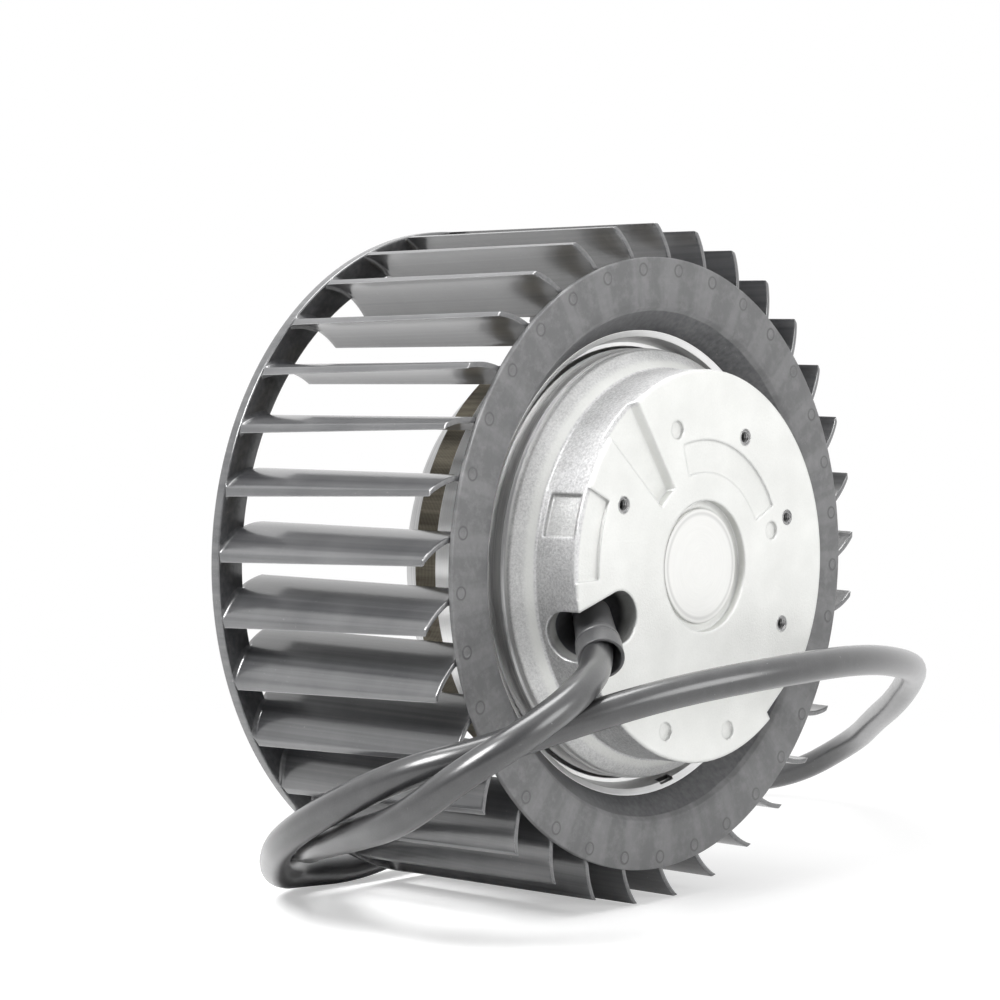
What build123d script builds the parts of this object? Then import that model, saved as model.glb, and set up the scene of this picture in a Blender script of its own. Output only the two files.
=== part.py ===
from build123d import *
import math
import os

# Forward-curved centrifugal fan with an external-rotor motor, millimetres.
# The fan axis is Y. The flange's mounting face is the plane y = 0 and looks along -Y.
# The inlet looks along +Y. A depth is a distance behind the mounting face, along +Y.
# Angles are counted about the fan axis, from +X towards +Z, as seen from the flange side.

# Fan wheel
TIP_R = 90.0
BLADE_COUNT = 33
BLADE_TIP_INSET = 0.1
BLADE_HEIGHT = 16.8
BLADE_THICK = 1.35
BLADE_THICK_INLET = 1.85
BLADE_ROOT_ANGLE = -5.1
TIP_ANGLE_BACK = 0.4
TIP_ANGLE_INLET = 1.65
TIP_FLARE = 1.3
CUP_SAG_BACK = 1.9
CUP_SAG_INLET = 2.3
FIRST_BLADE_ANGLE = 221.17
DISC_INNER_R = 68.0
DISC_TIP_STEP = 9.1
DISC_THICK = 1.5
DISC_DEPTH = 15.0
BLADE_LENGTH = 73.9
INLET_RING_HEIGHT = 8.5
INLET_RING_WIDTH = 3.0
INLET_RING_LAP = 1.5
COLLAR_THICK = 2.0
COLLAR_END_LAND = 3.0

# Rotor
ROTOR_R = 61.8
ROTOR_LIP_R = 60.1
ROTOR_LIP_SLOPE = 0.9
ROTOR_BORE_R = 58.8
ROTOR_LEDGE_R = 57.6
ROTOR_LEDGE_DEPTH = 27.0
ROTOR_FACE_DEPTH = 21.4
STACK_DEPTH = 40.5
STACK_THICK = 8.5
STACK_R = 58.2
AIR_GAP = 0.4
AIR_GAP_R = 46.0
CAGE_RING_THICK = 6.0
NEAR_NOSE_DEPTH = 38.6
NEAR_NOSE_R = 59.0
FAR_RING_R = 53.6
FAR_RING_TAPER = 1.1
BELL_DEPTH = 59.5
BELL_WALL = 3.5
BELL_RIM_FILLET = 2.0
BELL_DISH_R = 30.0
BELL_DISH = 1.2
BELL_CORNER = 1.0
ROTOR_BARS = 24
BAR_WIDTH = 2.6
BAR_HEIGHT = 3.6
BALANCE_SLOT_ANGLE = 281.0
BALANCE_SLOT_WIDTH = 5.0
BALANCE_SLOT_HEIGHT = 2.2

# Shaft, hub and bearings
SHAFT_R = 4.0
SHAFT_START = 5.6
SHAFT_CHAMFER = 0.5
HUB_R = 9.0
HUB_NOSE_R = 5.6
HUB_NOSE = 1.5
HUB_END_DEPTH = 62.5
BEARING_R = 11.0
BEARING_WIDTH = 7.0
NEAR_BEARING_DEPTH = 8.0
FAR_BEARING_LAND = 1.0
RACE_WALL_OUTER = 1.9
RACE_WALL_INNER = 1.7
BALL_R = 1.98
BALL_COUNT = 7
BALL_PLAY = 0.04
CAGE_WALL = 0.5
CAGE_WIDTH = 5.6
CAGE_CLEARANCE = 0.06
WASHER_SPACE = 1.0
WASHER_SHEET = 0.4
WASHER_PLAY = 0.1
CLIP_THICK = 1.0
CLIP_GROOVE = 0.5
CLIP_GAP_ANGLE = 40.0
CLIP_WIDTH = 1.8

# Stator flange
WALL_R = 51.4
FACE_CHAMFER = 0.5
WALL_END_DEPTH = 13.8
CONE_END_R = 56.6
CONE_END_DEPTH = 18.2
SKIRT_R = 57.0
SKIRT_BACK_DEPTH = 25.8
SKIRT_GROOVE = 0.35
SKIRT_GROOVE_DEPTH = 20.0
FLANGE_WALL = 4.5
FLANGE_PLATE = 6.0
TUBE_R = 14.0
TUBE_END_DEPTH = 51.0
SHOULDER_R = 9.6
CAP_R = 15.0
CAP_THICK = 1.2
CAP_DEPTH = 1.6
CAP_MOAT_R = 17.2
CAP_MOAT_DEPTH = 2.4
CENTRE_BOSS_R = 23.0
BOLT_PCD = 75.0
BOLT_TAP_R = 1.65
BOLT_DEPTH = 8.0
BOLT_BOSS_R = 5.0
BOLT_BOSS_DEPTH = 12.0
BOLT_ANGLES = (63.0, 153.0, 243.0, 333.0)
EARTH_SCREW_ANGLE = 18.0
EARTH_TAP_R = 1.45
DIMPLE_R = 2.4
DIMPLE_DEPTH = 0.8
DIMPLES = ((37.5, 108.0), (44.9, 248.8), (44.9, 282.7), (30.0, 16.0))
LOW_ZONE_START = 124.0
LOW_ZONE_END = 138.5
LOW_ZONE_DROP = 2.4
LOW_ZONE_SLOPE = 1.2
LETTER_BAND_R = 43.0
LETTER_BAND_START = 155.0
LETTER_BAND_END = 182.0
LETTER_BAND_DEPTH = 0.9
RIM_NOTCH_START = -31.0
RIM_NOTCH_RUN = 14.0
RIM_NOTCH_END = -56.3
RIM_NOTCH_DEPTH = 2.8
PANEL_INNER_R = 24.5
PANEL_OUTER_R = 33.0
PANEL_START = 27.0
PANEL_END = 106.0
PANEL_DEPTH = 0.6
SIDE_POCKET_START = 157.0
SIDE_POCKET_END = 169.5
SIDE_POCKET_DEPTH = 1.2
SIDE_POCKET_Y0 = 2.0
SIDE_POCKET_Y1 = 12.2
CHANNEL_ANGLE = 198.0
CHANNEL_HALF = 6.8
CHANNEL_INNER_R = 36.6
CHANNEL_FLOOR = 12.2
CHANNEL_WALL = 3.0
LEAD_HOLE_R = 3.2

# Stator winding
TOOTH_COUNT = 12
SLOT_WIDTH = 6.4
SLOT_INNER_R = 22.0
TOOTH_TIP = 5.1
SLOT_LINER = 0.3
SLOT_MOUTH = 1.6
INSULATOR_THICK = 0.8
INSULATOR_RIM = 1.2
COIL_HEAD_NEAR = 7.6
COIL_HEAD_FAR = 4.2
COIL_INNER_R = 21.0
COIL_BULGE = 1.0
COIL_CORNER = 1.8
PROTECTOR_R = 2.6
PROTECTOR_LENGTH = 12.0
PROTECTOR_ANGLE = 60.0

# Cable sleeve and cable
CABLE_D = 8.0
SLEEVE_BASE_R = 4.9
SLEEVE_LIP_R = 5.9
SLEEVE_LIP_LENGTH = 5.6
SLEEVE_LIP_STEP = 0.35
SLEEVE_PLAY = 0.6
SLEEVE_END_WALL = 4.6
SLEEVE_LENGTH = 22.3
SLEEVE_MOUTH_FLARE = 0.7
SLEEVE_MOUTH_LENGTH = 6.0
SLEEVE_SEAT_PLAY = 0.15
SCALLOP_R = 7.3
SCALLOP_DEPTH = 1.8
LEAD_R = 0.9
LEAD_SPREAD = 1.4
LEAD_CLEARANCE = 1.3
CORE_R = 1.0
CORE_SPREAD = 1.9
CORE_LENGTH = 30.0
CORE_COUNT = 4
FERRULE_R = 1.25
FERRULE_LENGTH = 9.0

# The cable's way, from inside the sleeve to its stripped end: out of the sleeve, round behind
# the wheel, back in one big loop in front of the flange and behind the wheel once more
CABLE_ROUTE = [
    (-37.5, 6.6, -12.9),
    (-47.5, -4.3, -20.1),
    (-67.5, -16.5, -25.5),
    (-88, -18, -33.5),
    (-105, -8, -45),
    (-112, 11, -56),
    (-107, 34, -64),
    (-86, 56, -72.5),
    (-63, 80, -79),
    (-46, 99, -84),
    (-21, 108, -86),
    (16, 115, -86),
    (58, 128, -86),
    (102, 142, -86),
    (143, 150, -86),
    (172, 137, -86),
    (187, 109, -80),
    (183, 80, -69),
    (156, 53, -57),
    (125, 26, -46),
    (97, 0, -35),
    (66, -19, -29),
    (28, -31, -24),
    (-10, -33, -24.5),
    (-43, -26, -28),
    (-68, -10, -35),
    (-86, 12, -44.5),
    (-87, 35, -53),
    (-84, 56, -61),
    (-80, 75, -69.5),
    (-70, 95, -79.5),
    (-52, 110, -86),
    (-24, 121, -86),
    (16, 133, -86),
    (60, 149, -86),
    (102, 161, -86),
    (138, 176, -86),
]

# How far cutting tools reach past the metal, and a bend's share of the shorter run beside it
OVER = 1.0
BEND_SHARE = 0.45

# Sizes that follow from the ones above
BLADE_ROOT_R = TIP_R - BLADE_HEIGHT
DISC_OUTER_R = TIP_R - DISC_TIP_STEP
INLET_RING_R = TIP_R - INLET_RING_HEIGHT
FACE_R = WALL_R - FACE_CHAMFER
FLANGE_CAVITY_R = WALL_R - FLANGE_WALL
FAR_BEARING_DEPTH = TUBE_END_DEPTH - FAR_BEARING_LAND - BEARING_WIDTH
BLADE_START = DISC_DEPTH + DISC_THICK
BLADE_END = BLADE_START + BLADE_LENGTH
INLET_RING_DEPTH = BLADE_END - INLET_RING_LAP
STACK_END = STACK_DEPTH + STACK_THICK
SLOT_OUTER_R = AIR_GAP_R - AIR_GAP - TOOTH_TIP
COIL_OUTER_R = SLOT_OUTER_R + COIL_BULGE
TUBE_BORE_END = FAR_BEARING_DEPTH + BEARING_WIDTH
PITCH_R = (SHAFT_R + BEARING_R) / 2
SLEEVE_AXIS = (Vector(*CABLE_ROUTE[1]) - Vector(*CABLE_ROUTE[0])).normalized()
SLEEVE_ROOT = Vector(*CABLE_ROUTE[0]) - SLEEVE_AXIS * SLEEVE_END_WALL
SLEEVE_END = SLEEVE_ROOT + SLEEVE_AXIS * SLEEVE_LENGTH
CLIP_DEPTH = NEAR_BEARING_DEPTH - CLIP_THICK
COIL_FACE_DEPTH = STACK_DEPTH - INSULATOR_THICK - COIL_HEAD_NEAR


def turned(points):
    """A solid of revolution about the fan axis from (radius, depth) points."""
    profile = make_face(Polyline(*points, close=True))
    return revolve(profile, Axis.Y)


def ring(inner, outer, start, end):
    """A plain ring about the fan axis between two depths."""
    return turned([(inner, start), (outer, start), (outer, end), (inner, end)])


def drum(radius, start, end):
    """A plain round bar on the fan axis between two depths."""
    return turned([(0, start), (radius, start), (radius, end), (0, end)])


def level(depth):
    """The plane across the fan axis at a depth, seen from the flange side."""
    return Plane(origin=(0, depth, 0), x_dir=(1, 0, 0), z_dir=(0, -1, 0))


def polar(radius, angle):
    """A point in a level's own plane."""
    return (radius * math.cos(math.radians(angle)), radius * math.sin(math.radians(angle)))


def spun(shape, angle):
    """The shape turned about the fan axis by an angle."""
    return shape.rotate(Axis.Y, -angle)


def bar(depth_start, depth_end, radius, spot):
    """A round bar along the fan axis, at a spot of the level's plane."""
    face = level(depth_end) * Location((*spot, 0)) * Circle(radius)
    return extrude(face, depth_end - depth_start)


def sector(inner, outer, start_angle, end_angle, depth_start, depth_end):
    """A piece of ring between two angles and two depths."""
    middle = (start_angle + end_angle) / 2
    outline = [
        Line(polar(inner, start_angle), polar(outer, start_angle)),
        ThreePointArc(polar(outer, start_angle), polar(outer, middle), polar(outer, end_angle)),
        Line(polar(outer, end_angle), polar(inner, end_angle)),
        ThreePointArc(polar(inner, end_angle), polar(inner, middle), polar(inner, start_angle)),
    ]
    face = level(depth_end) * make_face(outline)
    return extrude(face, depth_end - depth_start)


def spokes(count, phase, width, inner, outer, start, end):
    """Straight radial bars, evenly spaced round the fan axis."""
    face = level(end) * Location(((inner + outer) / 2, 0, 0)) * Rectangle(outer - inner, width)
    tool = extrude(face, end - start)
    return [spun(tool, 360 / count * (i + phase)) for i in range(count)]


def put(name, shape):
    """Write one node."""
    solids = shape.solids()
    node = solids[0] if len(solids) == 1 else Compound(children=solids)
    node.label = name
    export_step(node, f"parts/{name}.step")
    print(name, "solids", len(solids), "volume", round(sum(s.volume for s in solids)))


# Fan wheel

def blade_section(depth, tip_angle, thick, sag):
    """One blade cut across the axis: a crescent, hollow towards the turning direction."""
    tip_r = TIP_R - BLADE_TIP_INSET
    root_turn = math.degrees(thick / BLADE_ROOT_R)
    tip_turn = math.degrees(thick / tip_r) * TIP_FLARE
    hollow_root = Vector(*polar(BLADE_ROOT_R, BLADE_ROOT_ANGLE))
    hollow_tip = Vector(*polar(tip_r, tip_angle))
    back_root = Vector(*polar(BLADE_ROOT_R, BLADE_ROOT_ANGLE - root_turn))
    back_tip = Vector(*polar(tip_r, tip_angle - tip_turn))

    def bulge(first, second):
        along = (second - first).normalized()
        side = Vector(along.Y, -along.X)
        return (first + second) * 0.5 + side * sag

    outline = [
        ThreePointArc(hollow_root, bulge(hollow_root, hollow_tip), hollow_tip),
        Line(hollow_tip, back_tip),
        ThreePointArc(back_tip, bulge(back_root, back_tip), back_root),
        Line(back_root, hollow_root),
    ]
    return level(depth) * make_face(outline)


def fan_blade():
    near = blade_section(BLADE_START, TIP_ANGLE_BACK, BLADE_THICK, CUP_SAG_BACK)
    far = blade_section(BLADE_END, TIP_ANGLE_INLET, BLADE_THICK_INLET, CUP_SAG_INLET)
    return loft([near, far], ruled=True)


def fan_wheel():
    """Disc ring with its conical collar, the blades and the inlet ring, moulded in one."""
    collar_end = ROTOR_FACE_DEPTH + COLLAR_END_LAND
    wheel = turned([
        (DISC_INNER_R, DISC_DEPTH),
        (DISC_OUTER_R, DISC_DEPTH),
        (DISC_OUTER_R, BLADE_START),
        (DISC_INNER_R + COLLAR_THICK, BLADE_START),
        (ROTOR_R + COLLAR_THICK, ROTOR_FACE_DEPTH + DISC_THICK),
        (ROTOR_R + COLLAR_THICK, collar_end),
        (ROTOR_R, collar_end),
        (ROTOR_R, ROTOR_FACE_DEPTH),
    ])
    wheel += ring(INLET_RING_R, TIP_R, INLET_RING_DEPTH, INLET_RING_DEPTH + INLET_RING_WIDTH)
    blade = fan_blade()
    pitch = 360 / BLADE_COUNT
    return wheel + [spun(blade, FIRST_BLADE_ANGLE + pitch * i) for i in range(BLADE_COUNT)]


# Rotor

def rotor_bars():
    """The cage bars that run through the rotor stack between the two end rings."""
    inner = AIR_GAP_R + (CAGE_RING_THICK - BAR_HEIGHT) / 2
    return spokes(ROTOR_BARS, 0, BAR_WIDTH, inner, inner + BAR_HEIGHT, STACK_DEPTH, STACK_END)


def rotor_near_ring():
    body = turned([
        (ROTOR_R, ROTOR_FACE_DEPTH),
        (ROTOR_R, NEAR_NOSE_DEPTH),
        (NEAR_NOSE_R, STACK_DEPTH),
        (AIR_GAP_R, STACK_DEPTH),
        (AIR_GAP_R, STACK_DEPTH - CAGE_RING_THICK),
        (ROTOR_LEDGE_R, STACK_DEPTH - 2 * CAGE_RING_THICK),
        (ROTOR_LEDGE_R, ROTOR_LEDGE_DEPTH),
        (ROTOR_BORE_R, ROTOR_LEDGE_DEPTH),
        (ROTOR_LIP_R, ROTOR_FACE_DEPTH + ROTOR_LIP_SLOPE),
    ])
    slot = sector(
        ROTOR_BORE_R - OVER, ROTOR_R - OVER,
        BALANCE_SLOT_ANGLE - BALANCE_SLOT_WIDTH / 2, BALANCE_SLOT_ANGLE + BALANCE_SLOT_WIDTH / 2,
        ROTOR_FACE_DEPTH - OVER, ROTOR_FACE_DEPTH + BALANCE_SLOT_HEIGHT,
    )
    return body - slot


def rotor_stack():
    return ring(AIR_GAP_R, STACK_R, STACK_DEPTH, STACK_END) - rotor_bars()


def rotor_bell():
    """Far end ring, end wall and cage bars, cast in one over the stack."""
    body = turned([
        (AIR_GAP_R, STACK_END),
        (FAR_RING_R, STACK_END),
        (FAR_RING_R - FAR_RING_TAPER, BELL_DEPTH - BELL_RIM_FILLET),
        (FAR_RING_R - FAR_RING_TAPER - BELL_RIM_FILLET, BELL_DEPTH),
        (BELL_DISH_R, BELL_DEPTH + BELL_DISH),
        (HUB_R, BELL_DEPTH + BELL_DISH),
        (HUB_R, BELL_DEPTH + BELL_DISH - BELL_WALL),
        (BELL_DISH_R, BELL_DEPTH + BELL_DISH - BELL_WALL),
        (AIR_GAP_R - BELL_CORNER, BELL_DEPTH - BELL_WALL),
        (AIR_GAP_R, BELL_DEPTH - BELL_WALL - BELL_CORNER),
    ])
    return body + rotor_bars()


def rotor_hub():
    """Steel bush cast into the end wall. It grips the shaft and its nose meets the bearing."""
    return turned([
        (SHAFT_R, TUBE_BORE_END),
        (HUB_NOSE_R, TUBE_BORE_END),
        (HUB_NOSE_R, TUBE_BORE_END + HUB_NOSE),
        (HUB_R, TUBE_BORE_END + HUB_NOSE),
        (HUB_R, HUB_END_DEPTH),
        (SHAFT_R, HUB_END_DEPTH),
    ])


def shaft():
    end = HUB_END_DEPTH
    neck = SHAFT_R - CLIP_GROOVE
    return turned([
        (0, SHAFT_START),
        (SHAFT_R - SHAFT_CHAMFER, SHAFT_START),
        (SHAFT_R, SHAFT_START + SHAFT_CHAMFER),
        (SHAFT_R, CLIP_DEPTH),
        (neck, CLIP_DEPTH),
        (neck, NEAR_BEARING_DEPTH),
        (SHAFT_R, NEAR_BEARING_DEPTH),
        (SHAFT_R, end - SHAFT_CHAMFER),
        (SHAFT_R - SHAFT_CHAMFER, end),
        (0, end),
    ])


def open_ring(inner, outer, angle):
    """A spring clip: a flat ring with a gap, lying against the near bearing."""
    gap = sector(inner - OVER, outer + OVER, angle - CLIP_GAP_ANGLE / 2, angle + CLIP_GAP_ANGLE / 2,
                 CLIP_DEPTH - OVER, NEAR_BEARING_DEPTH + OVER)
    return ring(inner, outer, CLIP_DEPTH, NEAR_BEARING_DEPTH) - gap


# Bearings

def race_groove(depth):
    """The ball track of a bearing, cut out of both rings."""
    circle = Plane.XY * Location((PITCH_R, depth + BEARING_WIDTH / 2, 0)) * Circle(BALL_R + BALL_PLAY)
    return revolve(circle, Axis.Y)


def bearing_outer(depth):
    body = ring(BEARING_R - RACE_WALL_OUTER, BEARING_R, depth, depth + BEARING_WIDTH)
    return body - race_groove(depth)


def bearing_inner(depth):
    body = ring(SHAFT_R, SHAFT_R + RACE_WALL_INNER, depth, depth + BEARING_WIDTH)
    return body - race_groove(depth)


def bearing_balls(depth):
    ball = Pos(PITCH_R, depth + BEARING_WIDTH / 2, 0) * Sphere(BALL_R)
    step = 360 / BALL_COUNT
    return Compound(children=[spun(ball, step * i) for i in range(BALL_COUNT)])


def bearing_cage(depth):
    """Ribbon cage: a thin ring with a pocket round each ball."""
    middle = depth + BEARING_WIDTH / 2
    half = CAGE_WIDTH / 2
    cage = ring(PITCH_R - CAGE_WALL, PITCH_R + CAGE_WALL, middle - half, middle + half)
    drill = Pos(PITCH_R, middle, 0) * Rot(0, 90, 0) * Cylinder(BALL_R + CAGE_CLEARANCE, 2 * BALL_R)
    step = 360 / BALL_COUNT
    return cage - [spun(drill, step * i) for i in range(BALL_COUNT)]


def spring_washer():
    """A dished spring washer that preloads the near bearing against its clip."""
    start = NEAR_BEARING_DEPTH + BEARING_WIDTH
    end = start + WASHER_SPACE
    inner = SHOULDER_R + WASHER_PLAY
    outer = BEARING_R - WASHER_PLAY
    return turned([
        (inner, end - WASHER_SHEET),
        (outer, start),
        (outer, start + WASHER_SHEET),
        (inner, end),
    ])


# Stator flange

def channel_tool(radius, depth_end):
    """The cable's slot: a round inner end, straight sides out through the wall and a round bottom."""
    far = SKIRT_R + radius
    middle = depth_end - radius
    centre = polar((CHANNEL_INNER_R + far) / 2, CHANNEL_ANGLE)
    box = level(middle) * Location((*centre, 0), (0, 0, CHANNEL_ANGLE)) \
        * Rectangle(far - CHANNEL_INNER_R, 2 * radius)
    gutter = Pos((CHANNEL_INNER_R + far) / 2, middle, 0) * Rot(0, 90, 0) \
        * Cylinder(radius, far - CHANNEL_INNER_R)
    end = bar(-OVER, middle, radius, polar(CHANNEL_INNER_R, CHANNEL_ANGLE))
    cup = Pos(CHANNEL_INNER_R, middle, 0) * Sphere(radius)
    return extrude(box, middle + OVER) + end + spun(gutter + cup, CHANNEL_ANGLE)


def flange_casting():
    outside = turned([
        (0, 0),
        (FACE_R, 0),
        (WALL_R, FACE_CHAMFER),
        (WALL_R, WALL_END_DEPTH),
        (CONE_END_R, CONE_END_DEPTH),
        (CONE_END_R, SKIRT_GROOVE_DEPTH),
        (SKIRT_R, SKIRT_GROOVE_DEPTH + SKIRT_GROOVE),
        (SKIRT_R, SKIRT_BACK_DEPTH),
        (0, SKIRT_BACK_DEPTH),
    ])
    cavity = ring(TUBE_R, FLANGE_CAVITY_R, FLANGE_PLATE, SKIRT_BACK_DEPTH + OVER)
    body = outside - cavity
    body += ring(SHOULDER_R, TUBE_R, FLANGE_PLATE, TUBE_END_DEPTH)
    for angle in (*BOLT_ANGLES, EARTH_SCREW_ANGLE):
        body += bar(FLANGE_PLATE - OVER, BOLT_BOSS_DEPTH, BOLT_BOSS_R, polar(BOLT_PCD / 2, angle))
    trough = channel_tool(CHANNEL_HALF + CHANNEL_WALL, CHANNEL_FLOOR + CHANNEL_WALL)
    return body + (trough & drum(WALL_R, 0, SKIRT_BACK_DEPTH))


def face_slope():
    """The slope on one side of the low zone, down from the mounting face."""
    width = LOW_ZONE_SLOPE
    profile = make_face(Polyline((0, -OVER), (width, -OVER), (width, 0), (0, LOW_ZONE_DROP), close=True))
    outward = Plane(origin=(CENTRE_BOSS_R + OVER, 0, 0), x_dir=(0, 0, -1), z_dir=(1, 0, 0))
    return spun(extrude(outward * profile, FACE_R), LOW_ZONE_START)


def rim_notch():
    """A flat notch in the rim of the mounting face, with a slanting start and a square end."""
    floor = WALL_R - RIM_NOTCH_DEPTH
    outside = WALL_R + OVER + RIM_NOTCH_DEPTH
    outline = Polyline(
        polar(WALL_R, RIM_NOTCH_START),
        polar(floor, RIM_NOTCH_START - RIM_NOTCH_RUN),
        polar(floor, RIM_NOTCH_END),
        polar(outside, RIM_NOTCH_END),
        polar(outside, RIM_NOTCH_START),
        close=True,
    )
    face = level(WALL_END_DEPTH) * make_face(outline)
    return extrude(face, WALL_END_DEPTH + OVER)


def flange_face_cuts():
    """The relief of the mounting face: shallow zones, bands and dimples."""
    rim = FACE_R + 2 * OVER
    cuts = [
        sector(CENTRE_BOSS_R + OVER, rim, LOW_ZONE_START, LOW_ZONE_END, -OVER, LOW_ZONE_DROP),
        sector(LETTER_BAND_R, rim, LETTER_BAND_START, LETTER_BAND_END, -OVER, LETTER_BAND_DEPTH),
        sector(PANEL_INNER_R, PANEL_OUTER_R, PANEL_START, PANEL_END, -OVER, PANEL_DEPTH),
        sector(WALL_R - SIDE_POCKET_DEPTH, rim, SIDE_POCKET_START, SIDE_POCKET_END,
               SIDE_POCKET_Y0, SIDE_POCKET_Y1),
        face_slope(),
        rim_notch(),
        bar(-OVER, SCALLOP_DEPTH, SCALLOP_R, (SLEEVE_END.X, SLEEVE_END.Z)),
        drum(CAP_R, -OVER, CAP_DEPTH + CAP_THICK),
        drum(CAP_MOAT_R, -OVER, CAP_DEPTH),
        ring(CAP_R - OVER, CAP_MOAT_R, 0, CAP_MOAT_DEPTH),
    ]
    cuts += [bar(-OVER, BOLT_DEPTH, BOLT_TAP_R, polar(BOLT_PCD / 2, angle)) for angle in BOLT_ANGLES]
    cuts += [bar(-OVER, BOLT_DEPTH, EARTH_TAP_R, polar(BOLT_PCD / 2, EARTH_SCREW_ANGLE))]
    cuts += [bar(-OVER, DIMPLE_DEPTH, DIMPLE_R, polar(*spot)) for spot in DIMPLES]
    return cuts


def stator_flange():
    bores = [
        drum(BEARING_R, -OVER, NEAR_BEARING_DEPTH + BEARING_WIDTH + WASHER_SPACE),
        drum(SHOULDER_R, -OVER, TUBE_END_DEPTH + OVER),
        drum(BEARING_R, FAR_BEARING_DEPTH, TUBE_END_DEPTH + OVER),
        ring(BEARING_R - OVER, BEARING_R + CLIP_GROOVE, CLIP_DEPTH, NEAR_BEARING_DEPTH),
    ]
    lead_hole = bar(CHANNEL_FLOOR - OVER, SKIRT_BACK_DEPTH, LEAD_HOLE_R,
                    polar(CHANNEL_INNER_R, CHANNEL_ANGLE))
    cable_way = [channel_tool(CHANNEL_HALF, CHANNEL_FLOOR), lead_hole, sleeve_seat()]
    return flange_casting() - flange_face_cuts() - bores - cable_way


def end_cap():
    """Pressed cover over the near bearing, in the middle of the mounting face."""
    return drum(CAP_R, CAP_DEPTH, CAP_DEPTH + CAP_THICK)


# Stator stack and winding

def slots(width, inner, outer, start, end):
    """Bars in the places of the stator's slots, midway between its teeth."""
    return spokes(TOOTH_COUNT, 0.5, width, inner, outer, start, end)


def stator_stack():
    rim = AIR_GAP_R - AIR_GAP
    start = STACK_DEPTH - OVER
    end = STACK_END + OVER
    wells = slots(SLOT_WIDTH, SLOT_INNER_R, SLOT_OUTER_R, start, end)
    mouths = slots(SLOT_MOUTH, SLOT_OUTER_R - OVER, rim + OVER, start, end)
    return ring(TUBE_R, rim, STACK_DEPTH, STACK_END) - wells - mouths


def insulator(start, end):
    """Plastic end plate between the stack and the coil heads."""
    body = ring(TUBE_R, AIR_GAP_R - INSULATOR_RIM, start, end)
    return body - slots(SLOT_WIDTH, SLOT_INNER_R, SLOT_OUTER_R, start - OVER, end + OVER)


def coil_head(start, end):
    """The turns of the coils outside the slots, bundled to a ring with broken corners."""
    corner = COIL_CORNER
    return turned([
        (COIL_INNER_R, start + corner),
        (COIL_INNER_R + corner, start),
        (COIL_OUTER_R - corner, start),
        (COIL_OUTER_R, start + corner),
        (COIL_OUTER_R, end - corner),
        (COIL_OUTER_R - corner, end),
        (COIL_INNER_R + corner, end),
        (COIL_INNER_R, end - corner),
    ])


def stator_winding():
    near_plate = STACK_DEPTH - INSULATOR_THICK
    far_plate = STACK_END + INSULATOR_THICK
    bundle = slots(SLOT_WIDTH - 2 * SLOT_LINER, SLOT_INNER_R + SLOT_LINER, SLOT_OUTER_R - SLOT_LINER,
                   near_plate - OVER, far_plate + OVER)
    return coil_head(near_plate - COIL_HEAD_NEAR, near_plate) \
        + coil_head(far_plate, far_plate + COIL_HEAD_FAR) + bundle


def thermal_protector():
    """Overheating switch laid on the near coil head and tied to it."""
    middle = (COIL_INNER_R + COIL_OUTER_R) / 2
    pill = Pos(middle, COIL_FACE_DEPTH - PROTECTOR_R, 0) * Cylinder(PROTECTOR_R, PROTECTOR_LENGTH)
    return spun(pill, PROTECTOR_ANGLE)


def core_spots(spread):
    """Where the cable's cores lie, as points round their common centre."""
    step = 360 / CORE_COUNT
    return [polar(spread, step * (i + 0.5)) for i in range(CORE_COUNT)]


def lead_wires():
    """The cable's cores inside the motor, through the flange to the near coil head."""
    centre = Vector(*polar(CHANNEL_INNER_R, CHANNEL_ANGLE))
    spots = [centre + Vector(*spot) for spot in core_spots(LEAD_SPREAD)]
    leads = [bar(CHANNEL_FLOOR + LEAD_CLEARANCE, COIL_FACE_DEPTH, LEAD_R, (spot.X, spot.Y)) for spot in spots]
    return Compound(children=leads)


# Sleeve, cable and its end

def sleeve_turned(points):
    """A solid of revolution about the sleeve's axis from (radius, length) points."""
    upright = revolve(make_face(Polyline(*points, close=True)), Axis.Y)
    return Plane(origin=SLEEVE_ROOT, z_dir=SLEEVE_AXIS).location * Rot(90, 0, 0) * upright


def cable_sleeve():
    """Tapered rubber sleeve with a thicker lip, round the cable where it leaves the flange."""
    bore = CABLE_D / 2 + SLEEVE_PLAY
    neck = SLEEVE_LENGTH - SLEEVE_LIP_LENGTH
    return sleeve_turned([
        (0, 0),
        (SLEEVE_BASE_R, 0),
        (SLEEVE_LIP_R - SLEEVE_LIP_STEP, neck),
        (SLEEVE_LIP_R, neck + SLEEVE_LIP_STEP),
        (SLEEVE_LIP_R, SLEEVE_LENGTH),
        (bore + SLEEVE_MOUTH_FLARE, SLEEVE_LENGTH),
        (bore, SLEEVE_LENGTH - SLEEVE_MOUTH_LENGTH),
        (bore, SLEEVE_END_WALL),
        (0, SLEEVE_END_WALL),
    ])


def sleeve_seat():
    """The sloping seat in the casting that the sleeve lies in."""
    play = SLEEVE_SEAT_PLAY
    return sleeve_turned([
        (0, -play),
        (SLEEVE_BASE_R + play, -play),
        (SLEEVE_LIP_R + play, SLEEVE_LENGTH - SLEEVE_LIP_LENGTH),
        (SLEEVE_LIP_R + play, 2 * SLEEVE_LENGTH),
        (0, 2 * SLEEVE_LENGTH),
    ])


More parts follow.
